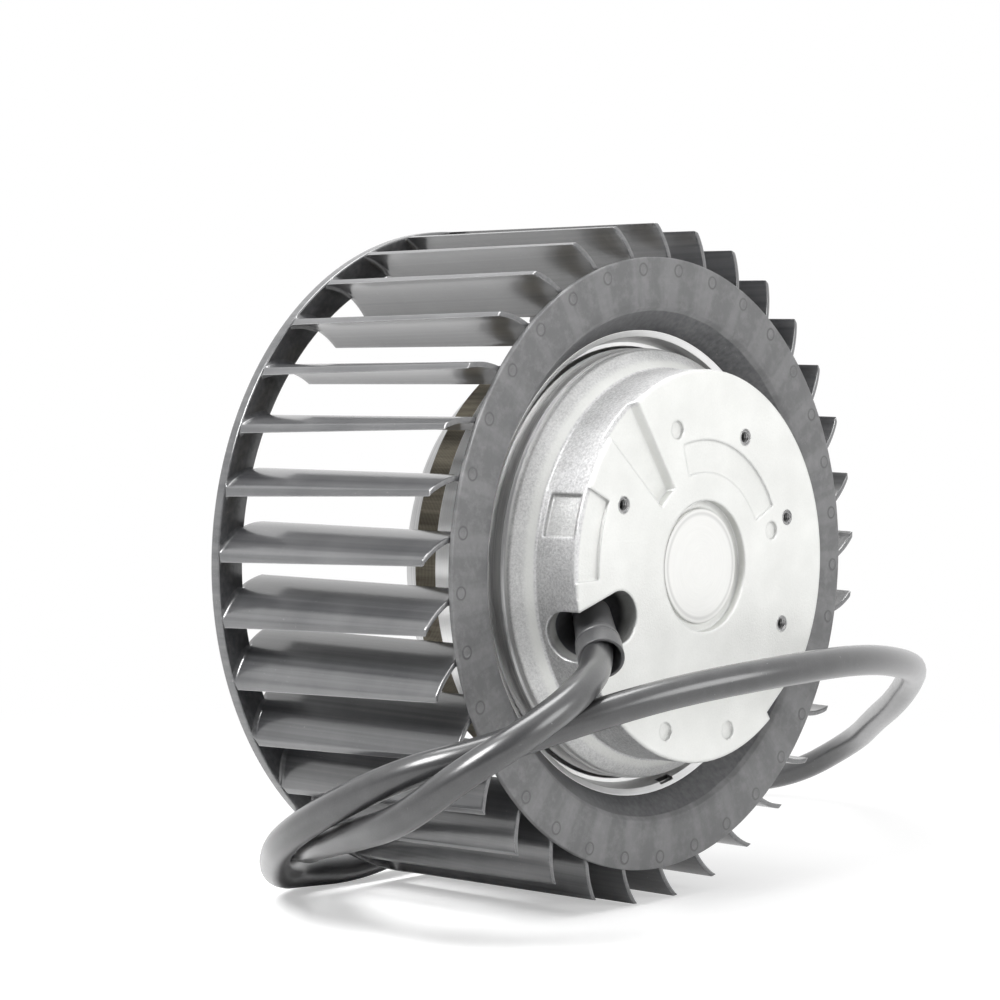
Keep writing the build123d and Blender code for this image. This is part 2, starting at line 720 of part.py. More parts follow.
def cable_tube():
    points = [Vector(*spot) for spot in CABLE_ROUTE]
    radii = []
    for before, corner, after in zip(points, points[1:], points[2:]):
        run = min((corner - before).length, (after - corner).length)
        turn = math.radians((corner - before).get_angle(after - corner))
        radii.append(BEND_SHARE * run / math.tan(turn / 2))
    path = FilletPolyline(*points, radius=radii)
    print("cable radii", [round(radius) for radius in radii])
    print("cable length", round(path.length, 1))
    start = Plane(origin=path @ 0, z_dir=path % 0)
    tube = sweep(start * Circle(CABLE_D / 2), path=path)
    expected = math.pi * CABLE_D ** 2 / 4 * path.length
    print("cable volume", round(tube.volume), "expected", round(expected))
    return tube


def cable_end_plane():
    last = Vector(*CABLE_ROUTE[-1])
    return Plane(origin=last, z_dir=last - Vector(*CABLE_ROUTE[-2]))


def cable_cores():
    bars = [Pos(x, y, CORE_LENGTH / 2) * Cylinder(CORE_R, CORE_LENGTH)
            for x, y in core_spots(CORE_SPREAD)]
    return cable_end_plane().location * Compound(children=bars)


def core_ferrules():
    middle = CORE_LENGTH + FERRULE_LENGTH / 2
    bars = [Pos(x, y, middle) * Cylinder(FERRULE_R, FERRULE_LENGTH)
            for x, y in core_spots(CORE_SPREAD)]
    return cable_end_plane().location * Compound(children=bars)


os.makedirs("parts", exist_ok=True)
put("impeller", fan_wheel())
put("rotor_near_ring", rotor_near_ring())
put("rotor_stack", rotor_stack())
put("rotor_bell", rotor_bell())
put("rotor_hub", rotor_hub())
put("shaft", shaft())
put("shaft_clip", open_ring(SHAFT_R - CLIP_GROOVE, SHAFT_R + CLIP_WIDTH, 90))
for side, depth in (("near", NEAR_BEARING_DEPTH), ("far", FAR_BEARING_DEPTH)):
    put(f"bearing_outer_{side}", bearing_outer(depth))
    put(f"bearing_inner_{side}", bearing_inner(depth))
    put(f"bearing_balls_{side}", bearing_balls(depth))
    put(f"bearing_cage_{side}", bearing_cage(depth))
put("bearing_clip", open_ring(BEARING_R - CLIP_WIDTH, BEARING_R + CLIP_GROOVE, 270))
put("spring_washer", spring_washer())
put("stator_flange", stator_flange())
put("end_cap", end_cap())
put("stator_stack", stator_stack())
put("insulator_near", insulator(STACK_DEPTH - INSULATOR_THICK, STACK_DEPTH))
put("insulator_far", insulator(STACK_END, STACK_END + INSULATOR_THICK))
put("stator_winding", stator_winding())
put("thermal_protector", thermal_protector())
put("lead_wires", lead_wires())
put("cable_sleeve", cable_sleeve())
put("cable", cable_tube())
put("cable_cores", cable_cores())
put("core_ferrules", core_ferrules())
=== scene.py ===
# %% [markdown]
# # A forward-curved centrifugal fan, dressed for its portrait
# The solids come from CAD and are already in place, so this lesson adds what CAD leaves out:
# fine shapes, finishes, the loose cable, a floor, lamps and a camera. Blender works in metres.
# The fan axis lies along Y, the flange looks along -Y, and Z is up.

# %% Load the fixed frame
import math
import bpy
from mathutils import Matrix, Vector


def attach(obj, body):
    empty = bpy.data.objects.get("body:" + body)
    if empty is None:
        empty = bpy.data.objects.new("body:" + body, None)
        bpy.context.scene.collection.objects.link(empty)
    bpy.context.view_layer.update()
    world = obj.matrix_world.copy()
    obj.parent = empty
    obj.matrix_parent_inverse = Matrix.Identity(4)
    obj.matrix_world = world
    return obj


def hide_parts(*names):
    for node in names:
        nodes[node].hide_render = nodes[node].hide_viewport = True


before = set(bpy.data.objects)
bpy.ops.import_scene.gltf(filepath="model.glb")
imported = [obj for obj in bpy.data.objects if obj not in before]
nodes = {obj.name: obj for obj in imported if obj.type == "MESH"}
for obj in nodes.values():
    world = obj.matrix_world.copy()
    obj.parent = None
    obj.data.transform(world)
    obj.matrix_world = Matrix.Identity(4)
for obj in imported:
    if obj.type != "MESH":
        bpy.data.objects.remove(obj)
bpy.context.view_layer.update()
MM = 0.001

# %% [markdown]
# ## The camera
# The picture to match was taken from the flange side, a little above the fan's middle. Its circles
# give the place and the lens: a long lens, so the near and the far rim look almost the same size.
# The camera looks down by two degrees and stands level.

# %% Camera
CAMERA_SPOT = (-0.60624, -0.47268, 0.04783)
CAMERA_AZIMUTH = math.radians(-48.06)
CAMERA_ELEVATION = math.radians(2.28)
LENS = 106.0
CLIP_START = 0.01

camera = bpy.data.objects.new("camera", bpy.data.cameras.new("camera"))
bpy.context.scene.collection.objects.link(camera)
camera.data.lens = LENS
camera.data.clip_start = CLIP_START
camera.location = CAMERA_SPOT
back = Vector((
    math.sin(CAMERA_AZIMUTH) * math.cos(CAMERA_ELEVATION),
    -math.cos(CAMERA_AZIMUTH) * math.cos(CAMERA_ELEVATION),
    math.sin(CAMERA_ELEVATION),
))
camera.rotation_mode = "QUATERNION"
camera.rotation_quaternion = (-back).to_track_quat("-Z", "Y")
bpy.context.scene.camera = camera
bpy.context.scene.view_settings.view_transform = "Standard"
print("camera", LENS, "mm")

# %% [markdown]
# ## The cable
# A cable is a length of something stiff that is bent by hand and lies where it likes. A NURBS
# spline of order 3 bends like that: it never has a kink, and a few control points steer it. The
# points follow the CAD route, so the cable lies where its solid is. On the left the picture shows
# the returning turn passing outside the first one, so there the points keep closer to the picture.
# The order and the end rule are set after the points, because Blender lowers the order of a spline
# that has none. It also counts each point's own radius in a curve's box, so the bevel is 1 and the
# points carry the cable's radius.

# %% Cable
CABLE_ROUTE = [
    (-0.0375, 0.0066, -0.0129),
    (-0.0475, -0.0043, -0.0201),
    (-0.0675, -0.0165, -0.0255),
    (-0.0875, -0.016, -0.0345),
    (-0.101, -0.006, -0.0445),
    (-0.1045, 0.01, -0.0565),
    (-0.098, 0.033, -0.063),
    (-0.088, 0.057, -0.069),
    (-0.068, 0.0785, -0.0745),
    (-0.055, 0.1015, -0.076),
    (-0.026, 0.112, -0.0845),
    (-0.0095, 0.1185, -0.086),
    (0.02, 0.119, -0.086),
    (0.058, 0.126, -0.086),
    (0.102, 0.142, -0.086),
    (0.143, 0.1495, -0.086),
    (0.1715, 0.134, -0.086),
    (0.1855, 0.109, -0.0835),
    (0.1827, 0.0808, -0.0689),
    (0.1555, 0.054, -0.0575),
    (0.1257, 0.0253, -0.047),
    (0.097, 0.0, -0.035),
    (0.066, -0.019, -0.029),
    (0.028, -0.031, -0.024),
    (-0.01, -0.0323, -0.0245),
    (-0.043, -0.023, -0.028),
    (-0.0675, -0.0125, -0.034),
    (-0.0895, -0.0005, -0.041),
    (-0.1, 0.013, -0.0455),
    (-0.1035, 0.0325, -0.0545),
    (-0.099, 0.0555, -0.0655),
    (-0.0805, 0.079, -0.076),
    (-0.064, 0.094, -0.0835),
    (-0.0485, 0.1005, -0.0855),
    (-0.031, 0.098, -0.086),
    (-0.004, 0.1015, -0.0825),
    (0.02, 0.1115, -0.077),
    (0.042, 0.131, -0.077),
    (0.072, 0.151, -0.085),
    (0.102, 0.161, -0.086),
    (0.138, 0.176, -0.086),
]
CABLE_DIAMETER = 0.008
STEPS_BETWEEN_POINTS = 12
STEPS_ROUND_TUBE = 8


def smooth_curve(name, points, radius):
    """A round tube on a NURBS spline."""
    data = bpy.data.curves.new(name, "CURVE")
    data.dimensions = "3D"
    data.resolution_u = STEPS_BETWEEN_POINTS
    spline = data.splines.new("NURBS")
    spline.points.add(len(points) - 1)
    for spot, point in zip(points, spline.points):
        point.co = (*spot, 1.0)
        point.radius = radius
    spline.order_u = 3
    spline.use_endpoint_u = True
    data.bevel_depth = 1.0
    data.bevel_resolution = STEPS_ROUND_TUBE
    data.use_fill_caps = True
    piece = bpy.data.objects.new(name, data)
    bpy.context.scene.collection.objects.link(piece)
    return piece


cable = smooth_curve("cable_jacket", CABLE_ROUTE, CABLE_DIAMETER / 2)
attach(cable, "stator")
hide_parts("cable")

# %% [markdown]
# ## Turned and lofted meshes
# Nearly every form on a fan is turned about one axis or swept along it. Two helpers make all of
# them: one turns an outline about Y, and one skins a row of outlines. Real edges are never sharp,
# so outlines get small round corners first. Those catch the thin bright lines that make a
# moulding or a casting look real. Only true creases stay hard, by the angle between two faces.

# %% Shape helpers
CREASE = math.radians(38)
LONGEST_CORNER = 0.45


def bent(start, corner, end, shares):
    """Points on the small curve from start to end that a corner between them pulls out."""
    return [start * (1 - t) ** 2 + corner * 2 * t * (1 - t) + end * t ** 2 for t in shares]


def softened(outline, size):
    """The closed outline with a small curve for each corner, which never eats up an edge."""
    result = []
    for i, corner in enumerate(outline):
        sides = (outline[i - 1], outline[(i + 1) % len(outline)])
        cuts = [min(LONGEST_CORNER, size / (corner - side).length) for side in sides]
        start, end = (corner.lerp(side, cut) for side, cut in zip(sides, cuts))
        result += bent(start, corner, end, (0.0, 1 / 3, 2 / 3, 1.0))
    return result


def skin(rings, closed=False):
    """Points and faces between equal closed rings, with both ends capped or joined."""
    count = len(rings[0])
    points = [spot for row in rings for spot in row]
    faces = []
    pairs = len(rings) if closed else len(rings) - 1
    for j in range(pairs):
        here = j * count
        there = (j + 1) % len(rings) * count
        for i in range(count):
            k = (i + 1) % count
            faces.append((here + i, here + k, there + k, there + i))
    if not closed:
        faces.append(tuple(reversed(range(count))))
        faces.append(tuple(range(len(points) - count, len(points))))
    return points, faces


def turned(outline, steps=198):
    """A closed (radius, depth) outline turned about the Y axis."""
    rings = []
    for j in range(steps):
        angle = 2 * math.pi * j / steps
        rings.append([Vector((r * math.cos(angle), y, r * math.sin(angle))) for r, y in outline])
    return skin(rings, closed=True)


def piece_from(name, parts, body):
    """One object from several (points, faces) parts, riding on a body."""
    points, faces = [], []
    for part_points, part_faces in parts:
        first = len(points)
        points += part_points
        faces += [tuple(first + i for i in face) for face in part_faces]
    mesh = bpy.data.meshes.new(name)
    mesh.from_pydata(points, [], faces)
    mesh.validate()
    mesh.polygons.foreach_set("use_smooth", [True] * len(mesh.polygons))
    mesh.set_sharp_from_angle(angle=CREASE)
    piece = bpy.data.objects.new(name, mesh)
    bpy.context.scene.collection.objects.link(piece)
    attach(piece, body)
    print(name, len(faces), "faces")
    return piece


def flat(*pairs):
    """An outline in metres from (across, along) pairs in millimetres."""
    return [Vector(pair) * MM for pair in pairs]


print("shape helpers ready")

# %% [markdown]
# ## The blades
# Each blade is a thin crescent that leans forward into the turning direction. It is a touch
# thicker and further forward at the inlet ring, because the mould opens along the axis. The
# section is two arcs with soft corners. It is skinned along the axis, swells into a small fillet
# where it meets the disc and the inlet ring, and has its free ends rounded. Sizes are millimetres
# and degrees, and a pair holds the values at the disc's end and at the inlet's end.

# %% Blades
TIP_R = 90.0
ROOT_R = 73.2
BLADE_COUNT = 33
PITCH = 360 / BLADE_COUNT
FIRST_BLADE = 221.17
BLADE_START = 16.5
BLADE_END = 90.4
DISC_OUTER_R = 80.9
INLET_RING_R = 81.5
INLET_RING_START = 88.9
THICKNESS = (1.35, 1.85)
TIP_ANGLE = (0.4, 1.65)
SAG = (1.9, 2.3)
ROOT_ANGLE = -5.1
TIP_SWELL = 1.3
RIM_GAP = 0.1
FILLET = 1.1
FILLET_FADE = 1.5
EDGE = 0.3
EDGE_START = 0.08
EDGE_PULL = 0.8


def polar(radius, degrees):
    """A spot seen along the axis, from its distance to the axis and its angle."""
    return Vector((radius * math.cos(math.radians(degrees)), radius * math.sin(math.radians(degrees))))


def bowed(first, second, sag, steps=14):
    """Points on the arc between two spots that bulges to the right by sag, with its normals."""
    half = (second - first).length / 2
    along = (second - first).normalized()
    side = Vector((along.y, -along.x))
    radius = (half * half + sag * sag) / (2 * sag)
    centre = (first + second) / 2 + side * (sag - radius)
    swing = math.asin(half / radius)
    row = []
    for i in range(steps + 1):
        a = swing * (2 * i / steps - 1)
        out = along * math.sin(a) + side * math.cos(a)
        row.append((centre + out * radius, out))
    return row


def smooth_share(value, low, high):
    """0 below low, 1 above high, and a smooth rise between them."""
    t = min(1.0, max(0.0, (value - low) / (high - low)))
    return t * t * (3 - 2 * t)


def quarter_round(size, share):
    """How far a rounded edge of this size has turned in: 0 at share 0, all of it at share 1."""
    share = min(1.0, max(0.0, share))
    return size * (1 - math.sqrt(1 - share * share))


def round_corner(corner, before, after):
    """A small curve in a section's corner, from one neighbour's side to the other's."""
    start, end = (corner + (side - corner).normalized() * EDGE for side in (before, after))
    return bent(start, corner, end, (0, 0.35, 0.65, 1))


def fillet_at(spot, depth):
    """How far the fillets push the blade's faces out at this radius and depth."""
    near = quarter_round(FILLET, 1 - (depth - BLADE_START) / FILLET)
    far = quarter_round(FILLET, 1 - (INLET_RING_START - depth) / FILLET)
    over_disc = 1 - smooth_share(spot.length, DISC_OUTER_R - FILLET_FADE, DISC_OUTER_R)
    over_ring = smooth_share(spot.length, INLET_RING_R, INLET_RING_R + FILLET_FADE)
    return near * over_disc + far * over_ring


def blade_ring(depth, inset):
    """The blade's closed section at a depth, drawn in by inset."""
    share = (depth - BLADE_START) / (BLADE_END - BLADE_START)
    thick, tip_angle, sag = (low + (high - low) * share for low, high in (THICKNESS, TIP_ANGLE, SAG))
    tip_r = TIP_R - RIM_GAP
    hollow = bowed(polar(ROOT_R, ROOT_ANGLE), polar(tip_r, tip_angle), sag)
    back_root = polar(ROOT_R, ROOT_ANGLE - math.degrees(thick / ROOT_R))
    back_tip = polar(tip_r, tip_angle - math.degrees(thick / tip_r) * TIP_SWELL)
    rear = bowed(back_root, back_tip, sag)

    def pushed(spot, out):
        """The spot moved out by the fillets and in by the inset, but never past the rim."""
        new = spot + out * (fillet_at(spot, depth) - inset)
        return new * min(1.0, (TIP_R - RIM_GAP / 2) / new.length)

    front_row = [pushed(spot, -out) for spot, out in hollow]
    rear_row = [pushed(spot, out) for spot, out in reversed(rear)]
    for row, way in ((front_row, inset), (rear_row, -inset)):
        row[0] = row[0].normalized() * (row[0].length + way)
        row[-1] = row[-1].normalized() * (row[-1].length - way)
    section = []
    for row, other in ((front_row, rear_row), (rear_row, front_row)):
        section += round_corner(row[0], other[-1], row[1])
        section += row[1:-1]
        section += round_corner(row[-1], row[-2], other[0])
    return section


def blade(turn):
    """One blade, skinned along the axis and turned to its place."""
    length = BLADE_END - BLADE_START
    steps = [0, EDGE_START, EDGE, 0.55, 0.8, FILLET, 2.5]
    steps += [length * i / 8 for i in range(1, 8)]
    from_ring = INLET_RING_START - BLADE_START
    steps += [from_ring - d for d in (FILLET, 0.75, 0.5, 0.25, 0.0)]
    steps += [length - EDGE, length - EDGE_START, length]
    spin = Matrix.Rotation(math.radians(turn), 2)
    rings = []
    for step in steps:
        from_end = min(step, length - step)
        inset = quarter_round(EDGE, 1 - from_end / EDGE) * EDGE_PULL
        outline = [spin @ spot for spot in blade_ring(BLADE_START + step, inset)]
        rings.append([Vector((spot.x, BLADE_START + step, spot.y)) * MM for spot in outline])
    return skin(rings)


blades = [blade(FIRST_BLADE + PITCH * i) for i in range(BLADE_COUNT)]
print("blades", len(blades), "with", len(blades[0][0]), "points each")

# %% [markdown]
# ## The disc, the inlet ring and the pin marks
# The disc ring runs into a cone that grips the rotor. Pins push the moulding out of its tool and
# leave a small round mark beside every blade, a shallow dish with a raised lip. With the blades,
# all of it is one moulding, so it is one object that stands for the CAD wheel.

# %% Fan wheel
MARK_R = 77.8
MARK_TURN = 5.2
MARK_RIM = [(0.9, -0.03), (1.02, -0.1), (1.2, -0.1), (1.34, 0.05), (0.9, 0.05)]
MARK_DISH = [(0.001, -0.03), (0.9, -0.03), (0.9, 0.05), (0.001, 0.05)]
MARK_STEPS = 20
DISC_FACE = 15.0

disc_outline = flat((68, DISC_FACE), (DISC_OUTER_R, DISC_FACE), (DISC_OUTER_R, 16.5), (70, 16.5),
                    (63.8, 22.9), (63.8, 24.4), (61.8, 24.4), (61.8, 21.4))
ring_outline = flat((INLET_RING_R, INLET_RING_START), (TIP_R, INLET_RING_START), (TIP_R, 91.9),
                    (INLET_RING_R, 91.9))


def pin_mark(turn, outline):
    """The rim or the dish of the mark that a pin leaves on the disc."""
    spot = polar(MARK_R, turn)
    place = Vector((spot.x, DISC_FACE, spot.y)) * MM
    points, faces = turned(flat(*outline), MARK_STEPS)
    return [p + place for p in points], faces


marks = [pin_mark(FIRST_BLADE + MARK_TURN + PITCH * i, outline)
         for i in range(BLADE_COUNT) for outline in (MARK_RIM, MARK_DISH)]
rings = [turned(softened(disc_outline, 0.4 * MM)), turned(softened(ring_outline, 0.45 * MM))]
wheel = piece_from("fan_wheel", blades + rings + marks, "rotor")
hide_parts("impeller")

# %% [markdown]
# ## Tapped holes
# The flange is held by four M4 screws, and a smaller hole takes the earth screw. A tapped hole
# reads as one by its thread lines and by the bright burr that the tap leaves round its mouth. The
# thread is one closed skin: a V-shaped wave that climbs by its pitch with each turn, backed by a
# plain wall that hides in the bore.

# %% Threads and burrs
THREAD_PITCH = 0.7
THREAD_TURNS = 7
THREAD_LENGTH = THREAD_PITCH * THREAD_TURNS
THREAD_START = 0.1
THREAD_WALL_R = 1.645
THREAD_ROOT_R = 1.6
THREAD_HEIGHT = 0.26
BORE_R = 1.65
EARTH_BORE_R = 1.45
BOLT_CIRCLE_R = 37.5
BOLT_ANGLES = (63.0, 153.0, 243.0, 333.0)
EARTH_ANGLE = 18.0
BURR = [(1.66, 0.04), (1.70, 0.01), (2.08, -0.03), (2.2, -0.13), (2.32, -0.11), (2.44, 0.04)]


def thread(scale, spot):
    """A threaded lining for a hole. A scale of 1 fits BORE_R."""
    steps, per_turn = 36, 8
    rings = []
    for j in range(steps):
        turn = j / steps
        profile = [(THREAD_WALL_R, THREAD_START), (THREAD_WALL_R, THREAD_START + THREAD_LENGTH)]
        for i in range(THREAD_TURNS * per_turn, -1, -1):
            wave = abs(((i / per_turn + turn) % 1.0) * 2 - 1)
            climb = THREAD_PITCH * i / per_turn
            profile.append((THREAD_ROOT_R - THREAD_HEIGHT * wave, THREAD_START + climb))
        across = [spot + polar(r * scale, 360 * turn) for r, y in profile]
        rings.append([Vector((at.x, y, at.y)) * MM for at, (r, y) in zip(across, profile)])
    return skin(rings, closed=True)


def burr(scale, spot):
    """The raised bright ring round a hole's mouth."""
    points, faces = turned(flat(*((r * scale, y) for r, y in BURR)), 40)
    return [p + Vector((spot.x, 0, spot.y)) * MM for p in points], faces


holes = [(1.0, polar(BOLT_CIRCLE_R, angle)) for angle in BOLT_ANGLES]
holes.append((EARTH_BORE_R / BORE_R, polar(BOLT_CIRCLE_R, EARTH_ANGLE)))
threads = piece_from("hole_threads", [thread(*hole) for hole in holes], "stator")
burrs = piece_from("hole_burrs", [burr(*hole) for hole in holes], "stator")

# %% [markdown]
# ## The rubber sleeve
# Where the cable leaves the casting it runs in a rubber sleeve. Its outer end is a thicker lip with
# a rounded rim, a bead and a groove behind it, and its mouth flares so that the cable can bend.
# It is turned about Y first and then tipped onto the line of the cable's first stretch.

# %% Cable sleeve
SLEEVE_BASE = 0.0046
sleeve_axis = (Vector(CABLE_ROUTE[1]) - Vector(CABLE_ROUTE[0])).normalized()
sleeve_root = Vector(CABLE_ROUTE[0]) - sleeve_axis * SLEEVE_BASE
tip = Matrix.Translation(sleeve_root) @ sleeve_axis.to_track_quat("Y", "Z").to_matrix().to_4x4()

sleeve_outline = flat((4.3, 0.05), (4.85, 0.05), (5.35, 13.2), (5.35, 13.6), (5.7, 13.9), (5.7, 15.3),
                      (5.45, 15.6), (5.45, 15.9), (5.88, 16.3), (5.88, 22.2), (5.05, 22.2),
                      (4.65, 17.5), (4.6, 4.7), (4.3, 4.7))
points, faces = turned(softened(sleeve_outline, 0.25 * MM), 96)
points = [tip @ p for p in points]
sleeve = piece_from("cable_sleeve_moulded", [(points, faces)], "stator")
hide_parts("cable_sleeve")

# %% [markdown]
# ## Arithmetic for finishes
# A finish is a small graph of nodes. Written as Python sums it stays readable, so this class wraps
# one socket, and +, -, * and / on it add Math nodes. Every other node comes from its method add.

# %% Sockets that add up
class Wire:
    """One socket of a material. Sums on it add Math nodes, and add() makes any other node."""

    def __init__(self, tree, socket=None):
        self.tree = tree
        self.socket = socket

    def add(self, kind, settings=None, sockets=None, out=0):
        """Make a node: its settings first, then the values or wires of its sockets."""
        node = self.tree.nodes.new("ShaderNode" + kind)
        for name, value in (settings or {}).items():
            setattr(node, name, value)
        for name, value in (sockets or {}).items():
            if isinstance(value, Wire):
                self.tree.links.new(value.socket, node.inputs[name])
            else:
                node.inputs[name].default_value = value
        return Wire(self.tree, node.outputs[out])

    def maths(self, operation, first, second=0.0):
        """A Math node on one or two numbers."""
        return self.add("Math", {"operation": operation}, {0: first, 1: second})

    def __add__(self, other):
        return self.maths("ADD", self, other)

    def __sub__(self, other):
        return self.maths("SUBTRACT", self, other)

    def __rsub__(self, other):
        return self.maths("SUBTRACT", other, self)

    def __mul__(self, other):
        return self.maths("MULTIPLY", self, other)

    def __truediv__(self, other):
        return self.maths("DIVIDE", self, other)

    def __rtruediv__(self, other):
        return self.maths("DIVIDE", other, self)

    __radd__ = __add__
    __rmul__ = __mul__

    def measure(self, operation, first, second):
        """One number from two vectors, such as their distance."""
        return self.add("VectorMath", {"operation": operation}, {0: first, 1: second}, out="Value")

    def step(self, low, high):
        """0 below low, 1 above high, and a smooth rise between them."""
        return self.add("MapRange", {"interpolation_type": "SMOOTHSTEP"},
                        {"Value": self, "From Min": low, "From Max": high})

    def tint(self, first, second):
        """A colour between two others, by this value."""
        first, second = (c if isinstance(c, Wire) else (*c, 1.0) for c in (first, second))
        return self.add("Mix", {"data_type": "RGBA"}, {"Factor": self, 6: first, 7: second}, out=2)


print("wires ready")

# %% [markdown]
# ## Places on the fan
# Most marks on this fan run round its axis: turning rings, blade pitches, sheet edges. So each
# finish starts from the piece's own coordinates, as a radius, an angle and a depth. They belong to
# the piece and not to the room, so a pattern turns with the rotor. A plain angle jumps where the
# circle closes, so noise takes the direction from the axis instead, which has no seam.

# %% Finish starter
PIN_RING = (0.00135, 0.00175)
PIN_BLUR = 0.0003


class Finish:
    """A material that is being made: its start wire, its coordinates and its shader."""

    def __init__(self, name, **constants):
        self.material = bpy.data.materials.new(name)
        self.material.use_nodes = True
        tree = self.material.node_tree
        self.shader = tree.nodes["Principled BSDF"]
        self.wire = Wire(tree)
        for socket, value in constants.items():
            self.shader.inputs[socket.replace("_", " ")].default_value = value
        self.spot = self.wire.add("TexCoord", out="Object")
        split = self.wire.add("SeparateXYZ", None, {0: self.spot}).socket.node.outputs
        self.x, self.depth, self.z = (Wire(tree, socket) for socket in split)
        self.radius = self.wire.maths("SQRT", self.x * self.x + self.z * self.z)
        self.angle = self.wire.maths("ARCTAN2", self.z, self.x)

    def noise(self, scale, detail=3.0, vector=None, roughness=0.5):
        """Soft noise around 0.5, at the piece's own coordinates or at others."""
        return self.wire.add("TexNoise", None, {
            "Vector": vector or self.spot, "Scale": scale, "Detail": detail, "Roughness": roughness})

    def around(self, turns, across, along):
        """Coordinates about the axis, with a scale for the turn, the radius and the depth."""
        return self.wire.add("CombineXYZ", None, {
            0: self.x / self.radius * turns,
            1: self.z / self.radius * turns,
            2: self.radius * across + self.depth * along,
        })

    def within(self, value, low, high, soft=0.0002):
        """1 where the value lies between two places, with soft ends."""
        return value.step(low - soft, low + soft) * (1 - value.step(high - soft, high + soft))

    def edges(self, size, gain=3.0):
        """1 on the piece's corners, 0 on its flats, by a rounded copy's normal: a mask for painted
        highlights.
        """
        plain = self.wire.add("NewGeometry", out="Normal")
        match = self.wire.measure("DOT_PRODUCT", self.rounded(size), plain)
        return ((1 - match) * gain).step(0.05, 0.9)

    def apart(self, place):
        """The distance to a place."""
        return self.wire.measure("DISTANCE", self.spot, place)

    def crevice_shade(self, reach):
        """1 deep in corners and grooves, 0 in the open: a mask for painted shade."""
        settings = {"samples": 8, "only_local": True}
        open_share = self.wire.add("AmbientOcclusion", settings, {"Distance": reach}, out="AO")
        return (1 - open_share).step(0.12, 1.0)

    def pins(self):
        """1 on a thin ring round each ejector pin's mark on the disc."""
        turn = (self.angle - math.radians(FIRST_BLADE + MARK_TURN)) / math.radians(PITCH)
        off = (self.wire.maths("FRACT", turn + 0.5) - 0.5) * (math.radians(PITCH) * MARK_R * MM)
        out = self.radius - MARK_R * MM
        reach = self.wire.maths("SQRT", off * off + out * out)
        return self.within(reach, *PIN_RING, PIN_BLUR)

    def rounded(self, size):
        """A normal that rounds off corners by this size."""
        return self.wire.add("Bevel", {"samples": 6}, {"Radius": size})

    def bump(self, height, distance, normal=None):
        """A normal that follows small heights, on top of another normal if one is given."""
        sockets = {"Height": height, "Distance": distance}
        if normal:
            sockets["Normal"] = normal
        return self.wire.add("Bump", None, sockets)

    def feed(self, **wires):
        """Link wires to sockets of the shader."""
        for socket, wire in wires.items():
            self.wire.tree.links.new(wire.socket, self.shader.inputs[socket.replace("_", " ")])

    def dress(self, *pieces):
        """Put the material on pieces, given as objects or as names of CAD nodes."""
        for piece in pieces:
            piece = nodes[piece] if isinstance(piece, str) else piece
            piece.data.materials.clear()
            piece.data.materials.append(self.material)
        print(self.material.name, "on", len(pieces))


print("finish starter ready")

# %% [markdown]
# ## The wheel's plastic
# The wheel is moulded in glass-filled nylon, dark and satin. The melt flows along each blade and
# leaves faint long streaks. On the disc the blades behind it pull soft dull bands, one to a blade,
# and a little pale dust sits everywhere. Corners get a painted highlight, and painted shade darkens
# the narrow spaces between the blades.

# %% Wheel plastic
BAND_LAG = 4


def wheel_plastic():
    """Dark satin plastic: streaked blades, a scuffed disc with dull bands, painted highlights and
    shade.
    """
    finish = Finish("wheel_plastic", IOR=1.5, Coat_Roughness=0.17, Coat_IOR=2.1)
    flow = finish.noise(1.0, 4, finish.around(46, 900, 16))
    cloud = finish.noise(46, 4)
    disc = finish.within(finish.depth, 0.0146, 0.0162) * finish.radius.step(0.0655, 0.067)
    funnel = 1 - finish.radius.step(0.0692, 0.0700)
    sweep = finish.noise(1.0, 3, finish.around(30, 22, 0))
    band_angle = finish.angle - math.radians(FIRST_BLADE - BAND_LAG)
    blade_wave = finish.wire.maths("COSINE", band_angle * BLADE_COUNT)
    sink = (blade_wave * 0.22 + sweep).step(0.0, 1.1)
    dust = finish.noise(1700, 1).step(0.70, 0.78) * finish.noise(130, 2).step(0.45, 0.7)
    tone = flow * 0.5 + cloud * 0.45 + disc * (sink - 0.5) * 0.9
    colour = tone.step(0.22, 0.80).tint((0.035, 0.036, 0.040), (0.145, 0.146, 0.150))
    # Painted highlight: corners are tinted pale.
    colour = (finish.edges(0.0006) * 0.55).tint(colour, (0.42, 0.42, 0.425))
    colour = (dust * 0.35).tint(colour, (0.4, 0.4, 0.4))
    scuff = finish.noise(260, 4, None, 0.7).step(0.42, 0.72)
    colour = (disc * (0.5 + scuff * 0.25)).tint(colour, (0.27, 0.27, 0.272))
    colour = (finish.pins() * disc * (0.2 + sweep * 0.8)).tint(colour, (0.03, 0.03, 0.032))
    # Painted shade: the crevice mask darkens the spaces between the blades and other hollows.
    colour = finish.crevice_shade(0.016).tint(colour, (0.02, 0.02, 0.022))
    grain = finish.noise(2600, 2)
    finish.feed(
        Base_Color=colour,
        Roughness=0.27 + flow * 0.14 + cloud * 0.06 + disc * 0.10,
        Coat_Weight=0.9 - (disc + funnel) * 0.75,
        Normal=finish.bump(grain + flow * 0.8, 0.00003),
    )
    return finish


wheel_plastic().dress(wheel)

# %% [markdown]
# ## Cast and turned aluminium
# The flange is die cast. Its mounting face is blasted to a near-white silk, its side wall keeps the
# grey, speckled skin of the die, with painted shade that darkens it further, and its skirt is turned
# to fit the rotor, with fine bright lines. One finish tells the three apart by depth and radius.
# Painted shade darkens its recesses, the mouths of the tapped holes and the casting's inside past
# the face. Corners are bright where they were trimmed, and that pale edge also paints a highlight.

# %% Cast aluminium
HOLE_SPOTS = [(spot.x * MM, 0, spot.y * MM) for scale, spot in holes]


